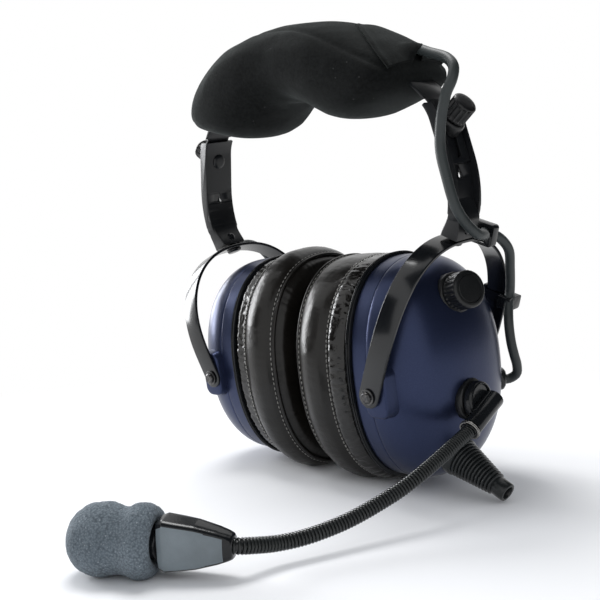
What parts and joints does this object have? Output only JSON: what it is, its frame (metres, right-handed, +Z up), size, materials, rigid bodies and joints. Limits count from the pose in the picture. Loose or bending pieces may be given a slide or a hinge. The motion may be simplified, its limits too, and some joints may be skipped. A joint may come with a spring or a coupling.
{
  "type": "aviation headset",
  "caption": "Over-ear aviation headset: padded spring headband, adjustable side arms, yokes, oval ear cups with soft seals, and a boom microphone with a foam windscreen.",
  "frame": {"origin": "middle of the foot of the whole headset's box, on the surface it stands on", "axes": "+Z up, +X out through the cup that carries the boom, -Y towards the microphone; the headset stands pitched forward by 7.6 degrees"},
  "size_m": [0.1926, 0.2278, 0.224],
  "materials": {
    "navy_shell": "metallic lacquer, glossy",
    "black_steel": "black, semi-gloss",
    "black_plastic": "black, satin",
    "rubber": "black, matt",
    "leatherette": "black, soft sheen",
    "velour": "black pile",
    "foam": "open-cell foam, blue grey",
    "steel": "plated, glossy",
    "board": "solder mask green"
  },
  "bodies": {
    "headband": {"headband_strip": "black_steel", "head_pad": "velour", "lead_upper": "rubber"},
    "near_arm_set": {"near_arm": "black_steel", "near_clamp_seat": "black_plastic", "near_clamp_screw": "steel", "near_bracket": "black_plastic", "near_rivet": "steel", "near_swivel_pin": "black_steel", "near_lead_middle": "rubber"},
    "near_knob": {"near_clamp_knob": "black_plastic"},
    "near_yoke_set": {"near_yoke": "black_steel", "near_lead_lower": "rubber", "ring_clip": "black_plastic", "strap_clip": "black_plastic"},
    "near_cup": {"near_shell": "navy_shell", "near_rim": "navy_shell", "near_seal_plate": "black_plastic", "near_seal": "leatherette", "near_ear_foam": "foam", "near_baffle": "black_plastic", "near_driver": "black_plastic", "near_pivot_screw_1": "steel", "near_pivot_screw_2": "steel", "near_grommet": "rubber", "near_lead_end": "rubber", "volume_seat": "black_plastic", "volume_pot": "steel", "circuit_board": "board", "boom_seat": "black_plastic", "boom_stud": "steel", "cable_boot": "rubber"},
    "far_arm_set": {"far_arm": "black_steel", "far_clamp_seat": "black_plastic", "far_clamp_screw": "steel", "far_bracket": "black_plastic", "far_rivet": "steel", "far_swivel_pin": "black_steel", "far_lead_middle": "rubber"},
    "far_knob": {"far_clamp_knob": "black_plastic"},
    "far_yoke_set": {"far_yoke": "black_steel", "far_lead_lower": "rubber"},
    "far_cup": {"far_shell": "navy_shell", "far_rim": "navy_shell", "far_seal_plate": "black_plastic", "far_seal": "leatherette", "far_ear_foam": "foam", "far_baffle": "black_plastic", "far_driver": "black_plastic", "far_pivot_screw_1": "steel", "far_pivot_screw_2": "steel", "far_grommet": "rubber", "far_lead_end": "rubber"},
    "volume": {"volume_knob": "black_plastic"},
    "boom": {"boom_pivot": "black_plastic", "boom_ferrule": "steel", "gooseneck": "rubber", "mic_housing": "black_plastic", "mic_capsule": "steel", "windscreen": "foam"}
  },
  "joints": [
    {"name": "near_adjust", "type": "slide", "parent": "headband", "child": "near_arm_set", "axis": [0.2079, 0.1294, -0.9696], "range_m": [0, 0.012]},
    {"name": "far_adjust", "type": "slide", "parent": "headband", "child": "far_arm_set", "axis": [-0.2079, 0.1294, -0.9696], "range_m": [0, 0.012]},
    {"name": "near_knob_turn", "type": "hinge", "parent": "near_arm_set", "child": "near_knob", "pos_m": [0.07393, 0.05003, 0.16481], "axis": [0.7986, -0.0796, 0.5965], "continuous": true},
    {"name": "far_knob_turn", "type": "hinge", "parent": "far_arm_set", "child": "far_knob", "pos_m": [-0.08175, 0.05003, 0.16481], "axis": [-0.7986, -0.0796, 0.5965], "continuous": true},
    {"name": "near_yoke_swivel", "type": "hinge", "parent": "near_arm_set", "child": "near_yoke_set", "pos_m": [0.0723, 0.05639, 0.11712], "axis": [0.3305, -0.1248, 0.9355], "range_deg": [-4, 4]},
    {"name": "far_yoke_swivel", "type": "hinge", "parent": "far_arm_set", "child": "far_yoke_set", "pos_m": [-0.08012, 0.05639, 0.11712], "axis": [-0.3305, -0.1248, 0.9355], "range_deg": [-4, 4]},
    {"name": "near_cup_tilt", "type": "hinge", "parent": "near_yoke_set", "child": "near_cup", "pos_m": [0.05029, 0.06471, 0.05482], "axis": [0, 0.9912, 0.1323], "range_deg": [-4, 4]},
    {"name": "far_cup_tilt", "type": "hinge", "parent": "far_yoke_set", "child": "far_cup", "pos_m": [-0.05811, 0.06471, 0.05482], "axis": [0, 0.9912, 0.1323], "range_deg": [-4, 4]},
    {"name": "volume_turn", "type": "hinge", "parent": "near_cup", "child": "volume", "pos_m": [0.07149, 0.05652, 0.09196], "axis": [0.9427, -0.2729, 0.1918], "range_deg": [-150, 150]},
    {"name": "boom_swing", "type": "hinge", "parent": "near_cup", "child": "boom", "pos_m": [0.08009, 0.05805, 0.04424], "axis": [1, 0, 0], "range_deg": [-70, 20]}
  ]
}
